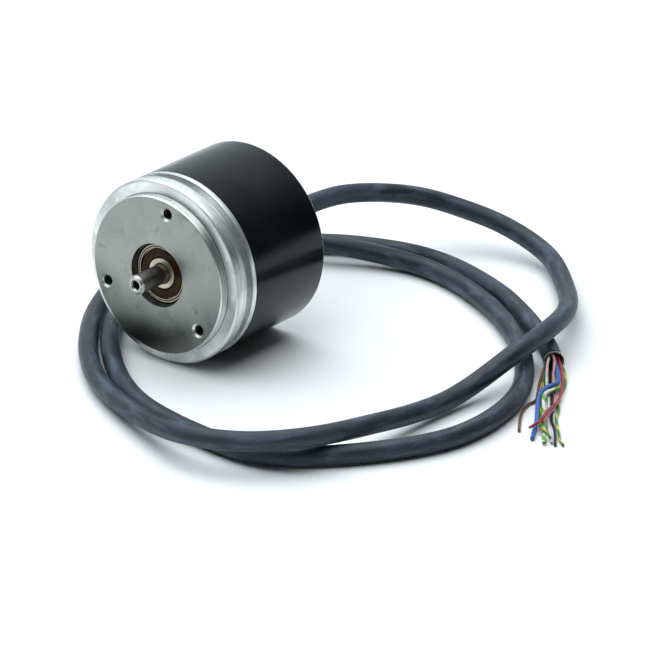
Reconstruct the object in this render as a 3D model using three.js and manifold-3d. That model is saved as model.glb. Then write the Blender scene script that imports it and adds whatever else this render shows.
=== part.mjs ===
// Rotary encoder with a synchro flange, a free cable and stripped cores. Millimetres, +Z up.
// The shaft points along -Y. The origin is on the surface that the housing lies on, under the
// middle of its length. Positions along the shaft axis are counted from the flange's front face,
// positive towards the cable.
import * as THREE from "three";
import { mergeVertices } from "three/addons/utils/BufferGeometryUtils.js";
import Module from "manifold-3d";

const wasm = await Module();
wasm.setup();

// Housing
const BODY_RADIUS = 29;
const BODY_FACETS = 48;
const BODY_LENGTH = 44;
const SMALL_FACETS = 24;
const GAP = 0.3;
const AXIS_HEIGHT = BODY_RADIUS * Math.cos(Math.PI / BODY_FACETS);

// Flange
const COLLAR_RADIUS = 25;
const COLLAR_LENGTH = 3;
const GROOVE_RADIUS = 26.5;
const GROOVE_START = 7;
const GROOVE_END = 10;
const RIM_END = 11.8;
const SPIGOT_END = 16.6;
const SEAL_GROOVE_START = 13.2;
const SEAL_GROOVE_END = 15;
const SEAL_GROOVE_RADIUS = 25.9;
const CAP_WALL = 1.6;
const CAP_INNER_RADIUS = BODY_RADIUS - CAP_WALL;
const CAP_EDGE_RADIUS = 0.6;
const HUB_RADIUS = 12;
const HUB_END = 27.4;
const MOUNT_HOLE_CIRCLE = 21;
const MOUNT_HOLE_RADIUS = 1.65;
const MOUNT_HOLE_DEPTH = 9;
const MOUNT_HOLE_ANGLES = [79, 199, 319];

// Shaft and bearings
const SHAFT_RADIUS = 3;
const SHAFT_SHOULDER_RADIUS = 4;
const SHAFT_REACH = 10;
const SHAFT_CHAMFER = 0.8;
const CENTRE_HOLE_RADIUS = 1.35;
const SHAFT_END = 35.3;
const CLIP_GROOVE_START = 26.5;
const CLIP_GROOVE_END = 27.4;
const CLIP_GROOVE_RADIUS = 2.75;
const BEARING_RADIUS = 9.5;
const BEARING_WIDTH = 6;
const SEAL_SEAT_RADIUS = 8.15;
const SEAL_SEAT_DEPTH = 0.85;
const BEARING_SEAT_RADIUS = BEARING_RADIUS + 0.2;
const FRONT_BEARING_START = 2;
const REAR_BEARING_START = 20.3;
const RACE_PITCH_RADIUS = 6.25;
const BALL_RADIUS = 1.5875;
const BALL_COUNT = 7;

// Disc, scanning unit and circuit board
const DISC_RADIUS = 19;
const DISC_START = 32.5;
const DISC_THICKNESS = 0.9;
const SCANNER_HEIGHT = 16.5;
const BOARD_START = 37.2;
const BOARD_THICKNESS = 1.6;
const BOARD_RADIUS = 24.5;
const POST_CIRCLE = 22.2;
const POST_RADIUS = 2.4;
const POST_ANGLES = [30, 150, 270];

// Cable
const CABLE_RADIUS = 3;
const SHIELD_LENGTH = 2;
const CABLE_STEP = 14.5;
const CABLE_BORE = CABLE_RADIUS + GAP;
const CAP_HOLE_RADIUS = 5.1;
const STRAIN_RELIEF_END = 64;
const THIN_CORE = 0.43;
const THICK_CORE = 0.65;
const CORE_STEP = 4.5;
const BUNDLE_HEADING = THREE.MathUtils.degToRad(-51.5);

const part = new THREE.Group();
const encoder = new THREE.Group();
encoder.position.set(0, (SHAFT_REACH - BODY_LENGTH) / 2, AXIS_HEIGHT);
part.add(encoder);

const aluminium = { color: 0xb9bebc, roughness: 0.35, metalness: 1 };
const steel = { color: 0xa9a9a6, roughness: 0.28, metalness: 1 };
const blackPaint = { color: 0x2c2f33, roughness: 0.45, metalness: 0.2 };
const rubber = { color: 0x1c1d1f, roughness: 0.7, metalness: 0 };
const sealRubber = { color: 0x3a2412, roughness: 0.55, metalness: 0 };
const brass = { color: 0xb59a55, roughness: 0.35, metalness: 1 };
const glass = { color: 0xcfe3e2, roughness: 0.08, metalness: 0 };
const blackPlastic = { color: 0x222325, roughness: 0.55, metalness: 0 };
const boardGreen = { color: 0x1f5a3a, roughness: 0.5, metalness: 0 };
const cablePlastic = { color: 0x49525c, roughness: 0.55, metalness: 0 };

function plastic(color) {
  return { color, roughness: 0.45, metalness: 0 };
}

function piece(group, name, geometry, finish) {
  const mesh = new THREE.Mesh(geometry, new THREE.MeshStandardMaterial(finish));
  mesh.name = name;
  group.add(mesh);
  return mesh;
}

// A turned solid about the shaft axis. The outline is [radius, position] pairs: it either starts
// and ends on the axis or is closed back to its first point. A facet faces straight down.
function turned(outline, facets = SMALL_FACETS) {
  const profile = outline.map(([radius, position]) => new THREE.Vector2(radius, position));
  if (profile[0].x > 0) profile.push(profile[0].clone());
  if (THREE.ShapeUtils.area(profile) < 0) profile.reverse();
  return new THREE.LatheGeometry(profile, facets, Math.PI / facets);
}

function ring(inner, outer, start, end, facets = SMALL_FACETS) {
  return turned([[inner, start], [outer, start], [outer, end], [inner, end]], facets);
}

function block(width, height, start, end, x, z) {
  const geometry = new THREE.BoxGeometry(width, end - start, height);
  return geometry.translate(x, (start + end) / 2, z);
}

function atAngle(geometry, radius, degrees) {
  const angle = THREE.MathUtils.degToRad(degrees);
  return geometry.clone().translate(radius * Math.cos(angle), 0, radius * Math.sin(angle));
}

// Closed-solid conversions for cuts and joins.
function solid(geometry) {
  const bare = geometry.clone();
  bare.deleteAttribute("normal");
  bare.deleteAttribute("uv");
  const merged = mergeVertices(bare);
  return new wasm.Manifold(new wasm.Mesh({
    numProp: 3,
    vertProperties: merged.attributes.position.array,
    triVerts: new Uint32Array(merged.index.array),
  }));
}

function geometryOf(manifold) {
  const mesh = manifold.getMesh();
  const geometry = new THREE.BufferGeometry();
  geometry.setAttribute("position", new THREE.BufferAttribute(mesh.vertProperties, 3));
  geometry.setIndex(new THREE.BufferAttribute(mesh.triVerts, 1));
  geometry.computeVertexNormals();
  return geometry;
}

function joined(geometry, additions) {
  return additions.reduce((whole, addition) => whole.add(solid(addition)), solid(geometry));
}

function cut(manifold, cutters) {
  return cutters.reduce((whole, cutter) => whole.subtract(solid(cutter)), manifold);
}

// Flange: collar, clamping groove, spigot for the cap, bearing hub and posts for the board.
function flange() {
  const recess = 10;
  const edge = 0.6;
  const spigotRadius = CAP_INNER_RADIUS - GAP;
  const seatStart = FRONT_BEARING_START - 0.2;
  const seatEnd = FRONT_BEARING_START + BEARING_WIDTH + 0.2;
  const body = turned([
    [recess, 0], [COLLAR_RADIUS - 0.4, 0], [COLLAR_RADIUS, 0.4], [COLLAR_RADIUS, COLLAR_LENGTH],
    [BODY_RADIUS - edge, COLLAR_LENGTH], [BODY_RADIUS, COLLAR_LENGTH + edge],
    [BODY_RADIUS, GROOVE_START], [GROOVE_RADIUS, GROOVE_START], [GROOVE_RADIUS, GROOVE_END],
    [BODY_RADIUS, GROOVE_END], [BODY_RADIUS, RIM_END], [spigotRadius, RIM_END],
    [spigotRadius, SEAL_GROOVE_START], [SEAL_GROOVE_RADIUS, SEAL_GROOVE_START],
    [SEAL_GROOVE_RADIUS, SEAL_GROOVE_END], [spigotRadius, SEAL_GROOVE_END],
    [spigotRadius, SPIGOT_END], [HUB_RADIUS, SPIGOT_END], [HUB_RADIUS, HUB_END],
    [BEARING_SEAT_RADIUS, HUB_END], [BEARING_SEAT_RADIUS, 18.8], [8, 18.8], [8, seatEnd],
    [BEARING_SEAT_RADIUS, seatEnd], [BEARING_SEAT_RADIUS, seatStart], [recess, seatStart],
  ], BODY_FACETS);
  const postEnd = BOARD_START - GAP;
  const post = turned([[0, 15], [POST_RADIUS, 15], [POST_RADIUS, postEnd], [0, postEnd]], 12);
  const screwHole = turned([[0, 29], [1.4, 29], [1.4, postEnd + 1], [0, postEnd + 1]], 12);
  const mountHole = turned([
    [0, MOUNT_HOLE_DEPTH + 0.9], [MOUNT_HOLE_RADIUS, MOUNT_HOLE_DEPTH],
    [MOUNT_HOLE_RADIUS, 0.65], [MOUNT_HOLE_RADIUS + 1.65, -1], [0, -1],
  ], 16);
  const posts = POST_ANGLES.map((angle) => atAngle(post, POST_CIRCLE, angle));
  return geometryOf(cut(joined(body, posts), [
    ...POST_ANGLES.map((angle) => atAngle(screwHole, POST_CIRCLE, angle)),
    ...MOUNT_HOLE_ANGLES.map((angle) => atAngle(mountHole, MOUNT_HOLE_CIRCLE, angle)),
  ]));
}

// Drawn cap with a rounded rear edge and a central hole for the cable.
function cap() {
  const start = RIM_END + GAP;
  const roundedEdge = [0, 1, 2, 3].map((step) => {
    const angle = (step / 3) * (Math.PI / 2);
    return [
      BODY_RADIUS - CAP_EDGE_RADIUS * (1 - Math.cos(angle)),
      BODY_LENGTH - CAP_EDGE_RADIUS * (1 - Math.sin(angle)),
    ];
  });
  return turned([
    [CAP_INNER_RADIUS, start], [BODY_RADIUS, start], ...roundedEdge,
    [CAP_HOLE_RADIUS, BODY_LENGTH], [CAP_HOLE_RADIUS, BODY_LENGTH - CAP_WALL],
    [CAP_INNER_RADIUS, BODY_LENGTH - CAP_WALL],
  ], BODY_FACETS);
}

function sealRing() {
  const centre = (SEAL_GROOVE_START + SEAL_GROOVE_END) / 2;
  const thickness = 0.5;
  const outline = Array.from({ length: 6 }, (_, corner) => {
    const angle = (corner / 6) * 2 * Math.PI;
    return [26.6 + thickness * Math.cos(angle), centre + thickness * Math.sin(angle)];
  });
  return turned(outline, BODY_FACETS);
}

function shaft() {
  const shoulder = FRONT_BEARING_START + BEARING_WIDTH + 0.3;
  return turned([
    [0, -4.6], [CENTRE_HOLE_RADIUS, -5.3], [CENTRE_HOLE_RADIUS, 0.4 - SHAFT_REACH],
    [CENTRE_HOLE_RADIUS + 0.4, -SHAFT_REACH], [SHAFT_RADIUS - SHAFT_CHAMFER, -SHAFT_REACH],
    [SHAFT_RADIUS, SHAFT_CHAMFER - SHAFT_REACH],
    [SHAFT_RADIUS, shoulder], [SHAFT_SHOULDER_RADIUS, shoulder],
    [SHAFT_SHOULDER_RADIUS, 20], [SHAFT_RADIUS, 20],
    [SHAFT_RADIUS, CLIP_GROOVE_START], [CLIP_GROOVE_RADIUS, CLIP_GROOVE_START],
    [CLIP_GROOVE_RADIUS, CLIP_GROOVE_END], [SHAFT_RADIUS, CLIP_GROOVE_END],
    [SHAFT_RADIUS, SHAFT_END - 0.3], [SHAFT_RADIUS - 0.3, SHAFT_END], [0, SHAFT_END],
  ]);
}

// C-shaped clip in the shaft's groove, open downwards.
function retainingRing() {
  const opening = 0.45;
  const start = -Math.PI / 2 + opening;
  const end = 1.5 * Math.PI - opening;
  const outline = new THREE.Shape();
  outline.absarc(0, 0, 4.4, start, end, false);
  outline.absarc(0, 0, SHAFT_RADIUS + 0.02, end, start, true);
  const clip = new THREE.ExtrudeGeometry(outline, {
    depth: 0.6, bevelEnabled: false, curveSegments: 16,
  });
  return clip.rotateX(Math.PI / 2).translate(0, CLIP_GROOVE_END - 0.15, 0);
}

// Wavy spring washer that loads the rear bearing's outer ring.
function waveWasher() {
  const washer = ring(7, 9.2, 19.4, 19.7);
  const place = washer.attributes.position;
  for (let index = 0; index < place.count; index += 1) {
    const angle = Math.atan2(place.getX(index), place.getZ(index));
    place.setY(index, place.getY(index) + 0.22 * Math.sin(3 * angle));
  }
  return washer;
}

// One deep-groove ball bearing: fixed outer ring, turning inner ring, cage and balls.
function addBearing(side, start, seals) {
  const middle = start + BEARING_WIDTH / 2;
  const end = start + BEARING_WIDTH;
  piece(encoder, `${side}_bearing_outer_ring`, turned([
    [BEARING_RADIUS, start], [BEARING_RADIUS, end], [SEAL_SEAT_RADIUS, end],
    [SEAL_SEAT_RADIUS, end - SEAL_SEAT_DEPTH], [7.6, end - SEAL_SEAT_DEPTH], [7.6, middle + 1.1],
    [8, middle + 0.5], [8, middle - 0.5], [7.6, middle - 1.1],
    [7.6, start + SEAL_SEAT_DEPTH], [SEAL_SEAT_RADIUS, start + SEAL_SEAT_DEPTH],
    [SEAL_SEAT_RADIUS, start],
  ], BODY_FACETS / 2), steel);
  piece(encoder, `${side}_bearing_inner_ring`, turned([
    [SHAFT_RADIUS + 0.2, start], [4.9, start], [4.9, middle - 1.1], [4.5, middle - 0.5],
    [4.5, middle + 0.5], [4.9, middle + 1.1], [4.9, end], [SHAFT_RADIUS + 0.2, end],
  ]), steel);
  const pocket = new THREE.SphereGeometry(BALL_RADIUS + 0.2, 8, 5).translate(0, middle, 0);
  const ball = new THREE.SphereGeometry(BALL_RADIUS, 8, 6).translate(0, middle, 0);
  const angles = Array.from({ length: BALL_COUNT }, (_, index) => (360 / BALL_COUNT) * index);
  const cage = cut(
    solid(ring(5.6, 6.9, middle - 2.1, middle + 2.1, 21)),
    angles.map((angle) => atAngle(pocket, RACE_PITCH_RADIUS, angle)),
  );
  piece(encoder, `${side}_bearing_cage`, geometryOf(cage), brass);
  angles.forEach((angle, index) => {
    piece(encoder, `${side}_ball_${index + 1}`, atAngle(ball, RACE_PITCH_RADIUS, angle), steel);
  });
  seals.forEach(([name, offset]) => {
    const face = start + offset;
    piece(encoder, name, ring(5.2, SEAL_SEAT_RADIUS - GAP, face, face + 0.4), sealRubber);
  });
}

function discHub() {
  return turned([
    [SHAFT_RADIUS + 0.25, 28], [6.5, 28], [6.5, 31], [11, 31], [11, DISC_START - GAP],
    [4.7, DISC_START - GAP], [4.7, 34.6], [SHAFT_RADIUS + 0.25, 34.6],
  ]);
}

// Light source side of the scanning unit: a block with a stepped bore for the lamp and the lens.
function lampHolder() {
  const body = solid(block(10, 8, SPIGOT_END + GAP, 31.4, 0, SCANNER_HEIGHT));
  const bore = turned([[0, 19], [2.7, 19], [2.7, 25], [3, 25], [3, 33], [0, 33]]);
  return geometryOf(cut(body, [bore.translate(0, 0, SCANNER_HEIGHT)]));
}

function lamp() {
  return turned([[0, 19.4], [2.4, 19.4], [2.4, 22.4], [2, 23.6], [1, 24.4], [0, 24.6]])
    .translate(0, 0, SCANNER_HEIGHT);
}

function condenserLens() {
  return turned([[0, 28], [2.7, 28], [2.7, 28.8], [2.1, 29.8], [1.1, 30.4], [0, 30.6]])
    .translate(0, 0, SCANNER_HEIGHT);
}

function circuitBoard() {
  const outer = solid(turned([
    [0, BOARD_START], [BOARD_RADIUS, BOARD_START],
    [BOARD_RADIUS, BOARD_START + BOARD_THICKNESS], [0, BOARD_START + BOARD_THICKNESS],
  ], BODY_FACETS));
  const hole = turned([
    [0, BOARD_START - 1], [1.4, BOARD_START - 1],
    [1.4, BOARD_START + 3], [0, BOARD_START + 3],
  ], 12);
  return geometryOf(cut(outer, POST_ANGLES.map((angle) => atAngle(hole, POST_CIRCLE, angle))));
}

function boardScrew() {
  const headStart = BOARD_START + BOARD_THICKNESS + GAP;
  return turned([
    [0, 30], [1.1, 30], [1.1, headStart], [2.1, headStart],
    [2.1, headStart + 1], [1.7, headStart + 1.4], [0, headStart + 1.4],
  ], 12);
}

// Tapered sleeve on the cable: a flange inside the cap, a neck in its hole and a soft tail.
function strainRelief() {
  return turned([
    [CABLE_BORE, 41], [7, 41], [7, 42.1], [CAP_HOLE_RADIUS - GAP, 42.1],
    [CAP_HOLE_RADIUS - GAP, BODY_LENGTH + GAP], [6.6, BODY_LENGTH + GAP], [6.6, 46.3],
    [5.6, 47.2], [4.1, STRAIN_RELIEF_END], [CABLE_BORE, STRAIN_RELIEF_END],
  ]);
}

// Free cable, hand-placed: out of the cap, down to the surface in a wide turn, round the front,
// behind the housing and once more round, to the stripped end.
const CABLE_ROUTE = [
  [0, 23.5, 29], [0, 48, 29], [0.5, 73, 26.9], [7, 101, 19], [16, 112, 13.8], [30, 117, 9.6],
  [48.3, 114.3, 5.6], [67.3, 98.3, 4.7], [82.3, 78.7, 7.8], [90.7, 58, 10.6], [92.5, 40, 9.9],
  [89.5, 10, 3.9], [86.9, -28.8, 8.1], [81.8, -49, 10.4], [70.2, -60.5, 10.1], [54.5, -66, 9.4],
  [33.5, -60.6, 6.2], [0, -44.2, 3.7], [-23.6, -21.8, 3.5], [-39.6, 3.2, 3.4], [-46, 30, 6.8],
  [-37.5, 55, 10.1], [-13.4, 74, 7], [19.8, 86.2, 3.4], [54, 75.6, 3.3], [86, 51, 3.3],
  [103.5, 24, 3.3], [106, -8, 3.3], [90.3, -36.3, 3.3], [69.5, -53.3, 3.3], [45.2, -53.7, 3.3],
  [17, -46.4, 3.3], [-9.5, -27.2, 3.3], [-30.6, 1.2, 3.3], [-36, 46, 3.3], [-22, 76.9, 3.3],
  [13.5, 93, 3.3], [50.2, 85.3, 3.4], [86.3, 62.2, 3.6], [95.6, 53.5, 3.7],
];

// Cores past the stripped end: [name, radius, colour, points], where a point is
// [across the bundle, along the bundle, height above the surface].
const CORES = [
  ["core_brown", THIN_CORE, 0x6b4a34, [
    [-1.55, 0.7, 4.05], [-2.87, 5.6, 2.6], [-4.28, 11.2, 0.8], [-5.13, 18.6, 0.6],
    [-5.97, 23.7, 0.6], [-8.1, 26.5, 0.6], [-9.8, 30.7, 0.6], [-10.89, 36.8, 0.6],
    [-11.48, 45.2, 0.6],
  ]],
  ["core_green", THIN_CORE, 0x3f7a3c, [
    [-1.5, 0.7, 3], [-2.17, 5.6, 1.5], [-3.23, 12.1, 0.6], [-4.08, 18.6, 0.55], [-4.52, 27.9, 0.5],
    [-4.96, 37.2, 0.5], [-5.18, 40.9, 0.7], [-5.36, 43.7, 1.4], [-5.14, 46.5, 2],
    [-4.33, 48.4, 2.15], [-3.32, 50.2, 1.9], [-2.72, 52.4, 1.7],
  ]],
  ["core_white", THIN_CORE, 0xd8d8d0, [
    [-1.1, 0.7, 5], [-1.78, 4.7, 4], [-2.2, 9.3, 2], [-2.21, 14.9, 0.7], [-1.97, 20.5, 0.6],
    [-2.31, 29.8, 0.6], [-2.78, 40.9, 0.6], [-2.39, 47.4, 0.6], [-2.28, 53.7, 0.6],
  ]],
  ["core_black", THIN_CORE, 0x1b1b1d, [
    [-0.75, 0.7, 2.15], [-0.96, 6.5, 0.9], [-1.17, 13, 0.6], [-1, 20.5, 0.6], [-1.26, 29.8, 0.6],
    [-1.65, 38.1, 0.6], [-1.19, 43.2, 0.6], [-1.08, 48.4, 0.6], [-1.31, 55.3, 0.6],
  ]],
  ["core_pink", THIN_CORE, 0xd9a0a4, [
    [-0.1, 0.7, 5.4], [0.34, 4.2, 5.1], [0.14, 7.4, 4.3], [-0.26, 10.7, 2.5], [-0.12, 14.4, 0.9],
    [0.02, 19.5, 0.55], [-0.13, 26, 0.7], [-0.36, 28.8, 1.15], [-0.94, 31.4, 1.52],
    [-1.75, 33.9, 1.85], [-2.71, 37.2, 2.1], [-3.66, 40.5, 2.42], [-4.5, 43.5, 2.5],
  ]],
  ["core_blue", THICK_CORE, 0x3f63a8, [
    [0.3, 0.7, 3.95], [0.98, 5.6, 3.3], [1.06, 10.2, 2.85], [1.06, 14.4, 2.75],
    [-0.05, 16.7, 2.75], [-2.33, 18.6, 2.65], [-4.28, 21.8, 2.4], [-5.14, 25.1, 2],
    [-5.51, 28.8, 1.5], [-5.83, 34.4, 1.2], [-6.29, 40, 1.2], [-6.96, 44.6, 1], [-7.86, 51.2, 0.8],
  ]],
  ["core_white_green", THICK_CORE, 0xb9cdb0, [
    [0.5, 0.7, 2.5], [1.02, 4.7, 1.3], [1.16, 10.2, 0.9], [1.14, 14.9, 1.1], [0.82, 17.5, 1.68],
    [-0.37, 19.3, 2], [-2.03, 20.7, 2.05], [-3.36, 23.4, 2], [-3.68, 27, 1.5],
    [-3.7, 31.6, 1.2], [-3.99, 39.1, 1.2], [-4.11, 43.7, 1.1], [-4.51, 54.3, 0.8],
  ]],
  ["core_red", THIN_CORE, 0xa83a48, [
    [1.6, 0.7, 4.3], [2.18, 5.6, 3.4], [2.37, 11.2, 2.6], [2.3, 15.8, 1.9], [1.68, 20.5, 1.5],
    [0.86, 25.1, 1.65], [-0.11, 29.8, 2.35], [-2.32, 35.3, 3.15], [-4.31, 41.5, 3.5],
    [-5.46, 44.6, 3.45], [-6.92, 45.9, 3], [-8.54, 46.5, 2.2],
  ]],
  ["core_yellow_green", THIN_CORE, 0x8aa04a, [
    [1.65, 0.7, 3.2], [3.02, 4.7, 2.3], [3.5, 9.3, 1], [2.99, 14, 0.6], [1.5, 20, 0.55],
    [0.91, 25.1, 0.55], [0.6, 30.7, 0.6], [-0.26, 36.3, 0.6], [-0.28, 40.9, 0.6],
    [0.06, 46.5, 0.6], [0.14, 51.2, 0.6], [1.04, 55.3, 0.6],
  ]],
];

// A round tube swept along points. The step is the length of one straight piece of it.
function tube(points, radius, sides, step) {
  const path = new THREE.CatmullRomCurve3(points);
  const section = new THREE.Shape();
  for (let side = 0; side < sides; side += 1) {
    const angle = (side / sides) * 2 * Math.PI;
    const corner = [radius * Math.cos(angle), radius * Math.sin(angle)];
    if (side === 0) section.moveTo(...corner);
    else section.lineTo(...corner);
  }
  const steps = Math.round(path.getLength() / step);
  return new THREE.ExtrudeGeometry(section, { steps, extrudePath: path, bevelEnabled: false });
}

function addCable() {
  const route = CABLE_ROUTE.map((point) => new THREE.Vector3(...point));
  piece(part, "cable", tube(route, CABLE_RADIUS, 10, CABLE_STEP), cablePlastic);
  const end = route.at(-1);
  const heading = end.clone().sub(route.at(-2)).normalize();
  const shield = piece(part, "cable_shield", turned([
    [2.35, GAP], [2.75, GAP], [3.4, SHIELD_LENGTH], [3, SHIELD_LENGTH],
  ], SMALL_FACETS), steel);
  shield.position.copy(end);
  shield.quaternion.setFromUnitVectors(new THREE.Vector3(0, 1, 0), heading);
  const along = new THREE.Vector3(Math.cos(BUNDLE_HEADING), Math.sin(BUNDLE_HEADING), 0);
  const across = new THREE.Vector3(-along.y, along.x, 0);
  CORES.forEach(([name, radius, color, points]) => {
    const core = points.map(([side, forward, height]) => new THREE.Vector3(end.x, end.y, height)
      .addScaledVector(across, side)
      .addScaledVector(along, forward));
    piece(part, name, tube(core, radius, 8, CORE_STEP), plastic(color));
  });
}

piece(encoder, "flange", flange(), aluminium);
piece(encoder, "cap", cap(), blackPaint);
piece(encoder, "housing_seal", sealRing(), rubber);
piece(encoder, "shaft", shaft(), steel);
addBearing("front", FRONT_BEARING_START, [["front_seal_outside", 0.15], ["front_seal_inside", 5.45]]);
addBearing("rear", REAR_BEARING_START, []);
piece(encoder, "wave_washer", waveWasher(), steel);
piece(encoder, "retaining_ring", retainingRing(), steel);
piece(encoder, "disc_hub", discHub(), brass);
piece(encoder, "code_disc", ring(5, DISC_RADIUS, DISC_START, DISC_START + DISC_THICKNESS,
  BODY_FACETS), glass);
piece(encoder, "disc_clamp", ring(5, 8.5, 33.7, 34.5), brass);
piece(encoder, "lamp_holder", lampHolder(), blackPlastic);
piece(encoder, "lamp", lamp(), glass);
piece(encoder, "condenser_lens", condenserLens(), glass);
piece(encoder, "scanning_reticle", block(9, 6, 33.7, 34.4, 0, SCANNER_HEIGHT), glass);
piece(encoder, "photodetector", block(9, 7, 34.7, BOARD_START - GAP, 0, SCANNER_HEIGHT),
  blackPlastic);
piece(encoder, "circuit_board", circuitBoard(), boardGreen);
POST_ANGLES.forEach((angle, index) => {
  piece(encoder, `board_screw_${index + 1}`, atAngle(boardScrew(), POST_CIRCLE, angle), steel);
});
piece(encoder, "board_connector", block(14, 5, 39.1, 41.7, 0, 12), plastic(0xd8d2bf));
piece(encoder, "strain_relief", strainRelief(), rubber);
addCable();

export default part;
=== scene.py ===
"""Looks of a rotary encoder with a free cable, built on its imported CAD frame.

The scene is in metres with +Z up, and the shaft points along -Y. Turned pieces are described as in
the CAD: (radius, position) pairs in millimetres, with the position counted along the shaft axis from
the flange's front face, positive towards the cable.
"""

import math

import bmesh
import bpy
from mathutils import Matrix, Vector, noise


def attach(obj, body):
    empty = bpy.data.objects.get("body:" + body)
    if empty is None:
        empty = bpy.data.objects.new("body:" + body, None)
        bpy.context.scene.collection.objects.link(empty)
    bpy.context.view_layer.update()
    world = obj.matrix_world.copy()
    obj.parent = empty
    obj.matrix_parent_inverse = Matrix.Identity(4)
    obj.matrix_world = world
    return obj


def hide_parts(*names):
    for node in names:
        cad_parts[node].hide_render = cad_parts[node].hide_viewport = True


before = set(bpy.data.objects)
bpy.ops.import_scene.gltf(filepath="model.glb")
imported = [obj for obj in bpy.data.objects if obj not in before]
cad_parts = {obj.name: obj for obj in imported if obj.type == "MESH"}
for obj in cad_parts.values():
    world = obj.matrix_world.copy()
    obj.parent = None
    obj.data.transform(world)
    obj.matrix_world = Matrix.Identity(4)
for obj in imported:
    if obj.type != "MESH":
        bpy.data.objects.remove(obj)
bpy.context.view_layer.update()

MM = 0.001

# Housing and flange, in millimetres
BODY_RADIUS = 29.0
BODY_LENGTH = 44.0
BODY_FACETS = 48
GAP = 0.3
AXIS_HEIGHT = BODY_RADIUS * math.cos(math.pi / BODY_FACETS)
COLLAR_RADIUS = 25.0
COLLAR_CHAMFER = 0.4
COLLAR_END = 3.0
RIM_CHAMFER = 0.6
GROOVE_RADIUS = 26.5
GROOVE_START = 7.0
GROOVE_END = 10.0
RIM_END = 11.8
CAP_START = RIM_END + GAP
CAP_WALL = 1.6
CAP_INNER_RADIUS = BODY_RADIUS - CAP_WALL
CAP_EDGE_RADIUS = 0.6
CAP_HOLE_RADIUS = 5.1
SPIGOT_RADIUS = CAP_INNER_RADIUS - GAP
SPIGOT_END = 16.6
SEAL_GROOVE_RADIUS = 25.9
SEAL_GROOVE_START = 13.2
SEAL_GROOVE_END = 15.0
HUB_RADIUS = 12.0
HUB_END = 27.4
RECESS_RADIUS = 10.0
TUNNEL_RADIUS = 8.0
MOUNT_HOLE_ANGLES = (79, 199, 319)
MOUNT_HOLE_CIRCLE = 21.0
MOUNT_HOLE_RADIUS = 1.65
MOUNT_HOLE_DEPTH = 9.0
THREAD_PITCH = 0.7
THREAD_RADIUS = 1.95
THREAD_START = 1.2
COUNTERSINK_DEPTH = 0.65
POST_ANGLES = (30, 150, 270)
POST_CIRCLE = 22.2
POST_RADIUS = 2.4
POST_END = 36.9
SCREW_HOLE_RADIUS = 1.4
SCREW_HOLE_END = 29.0

# Shaft and bearings, in millimetres
SHAFT_RADIUS = 3.0
SHAFT_REACH = 10.0
SHAFT_CHAMFER = 0.8
SHAFT_SHOULDER_RADIUS = 4.0
SHAFT_SHOULDER_END = 20.0
SHAFT_END = 35.3
CENTRE_HOLE_RADIUS = 1.35
CLIP_GROOVE_RADIUS = 2.75
CLIP_GROOVE_START = 26.5
CLIP_GROOVE_END = 27.4
ROW_SHIFT = (SHAFT_REACH - BODY_LENGTH) / 2
BEARING_RADIUS = 9.5
BEARING_WIDTH = 6.0
BEARING_SEAT_MARGIN = 0.2
BEARING_SEAT_RADIUS = BEARING_RADIUS + BEARING_SEAT_MARGIN
FRONT_BEARING_START = 2.0
REAR_BEARING_START = 20.3
REAR_SEAT_START = 18.8
SEAL_SEAT_RADIUS = 8.15
SEAL_SEAT_DEPTH = 0.85

# Cable, shield and cores, in millimetres; the lay and the unevenness are parts of the radius
CABLE_RADIUS = 3.0
LAY_DEPTH = 0.010
LAY_STRANDS = 5
LAY_PITCH = 75.0
UNEVENNESS = 0.012
CABLE_STEP = 1.6
CORE_STEP = 0.7
STRAIN_RELIEF_END = 64.0
RELIEF_RIB_START = 49.0
RELIEF_RIB_PITCH = 2.3
RELIEF_RIBS = 6
SHIELD_LENGTH = 2.0
SHIELD_RADIUS = 2.22
SHIELD_ROOT = 4.0
SHIELD_FLARE = 0.52
SHIELD_WIRES = 26
SHIELD_WIRE_RADIUS = 0.07
THIN_CORE = 0.43
THICK_CORE = 0.65
CORE_ROOT = 2.0

# Sides of turned pieces and tubes, and the angle above which an edge is sharp, in degrees
TURNED_SIDES = 160
SHAFT_SIDES = 96
SMALL_SIDES = 72
CABLE_SIDES = 32
CORE_SIDES = 16
HOLE_SIDES = 40
POST_SIDES = 32
SHIELD_SIDES = 96
SHARP_ANGLE = 35
# Below this, a radius is on the axis and two points are the same
TINY = 1e-6

# Camera: a long lens, in millimetres, from the front right and a little above; distances in metres
CAMERA_AZIMUTH = math.radians(38.551)
CAMERA_ELEVATION = math.radians(23.536)
CAMERA_DISTANCE = 1.6
CAMERA_TARGET = Vector((0, 0.003, 0.02894))
CAMERA_SIDE = 0.040069
CAMERA_RISE = -0.023289
CAMERA_LENS = 286.9

# Surroundings: the way to their bright side, and their strength away from it and towards it
WORLD_BRIGHT_SIDE = (-0.737, 0.526, 0.42)
WORLD_DIM = 0.04
WORLD_BRIGHT = 0.85
WORLD_COLOUR = (0.86, 0.96, 1.0)

# Overhead softbox: place and size in metres, power in watts
SOFTBOX_PLACE = (-0.20, 0.0, 1.25)
SOFTBOX_SIZE = (2.0, 2.0)
SOFTBOX_POWER = 29
SOFTBOX_COLOUR = (0.94, 0.985, 1.0)

# Painted dark reflection low on the flange's face: colour standing in for the shaded floor and
# cable that the face mirrors. It covers most below the height PAINTED_REFLECTION_FULL and nothing
# above PAINTED_REFLECTION_GONE, in metres over the surface on the shaft's own line; both fall by
# PAINTED_REFLECTION_LEAN towards +X.
PAINTED_REFLECTION_COLOUR = (0.055, 0.060, 0.054)
PAINTED_REFLECTION_GONE = 0.028
PAINTED_REFLECTION_FULL = 0.007
PAINTED_REFLECTION_LEAN = 0.35
PAINTED_REFLECTION_UNEVENNESS = 0.006
PAINTED_REFLECTION_COVER = 0.80

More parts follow.
